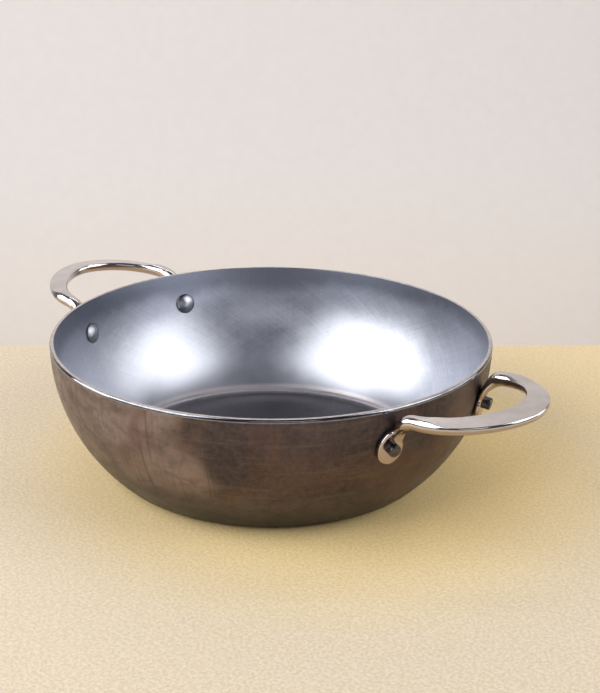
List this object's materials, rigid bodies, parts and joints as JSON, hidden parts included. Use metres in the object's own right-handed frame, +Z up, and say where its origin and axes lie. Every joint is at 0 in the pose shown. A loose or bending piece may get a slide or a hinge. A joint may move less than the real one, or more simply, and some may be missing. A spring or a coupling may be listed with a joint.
{
  "type": "deep frying pan",
  "caption": "Deep round steel frying pan with a flat base, a bowl-shaped wall and flat-topped loop handles riveted on opposite sides.",
  "frame": {"origin": "centre of the base, on the surface that the pan stands on", "axes": "+Z up along the pan's own axis, +X along the line of the handles, towards the right one"},
  "size_m": [0.3984, 0.28, 0.0907],
  "materials": {
    "carbon_steel": "spun, satin, with heat and oil tint outside",
    "polished_steel": "mirror polished, with a ground satin top",
    "rivet_steel": "satin, dark"
  },
  "bodies": {
    "root": {"pan_body": "carbon_steel", "handle_right": "polished_steel", "handle_left": "polished_steel", "rivet_right_front": "rivet_steel", "rivet_right_back": "rivet_steel", "rivet_left_front": "rivet_steel", "rivet_left_back": "rivet_steel"}
  },
  "joints": []
}
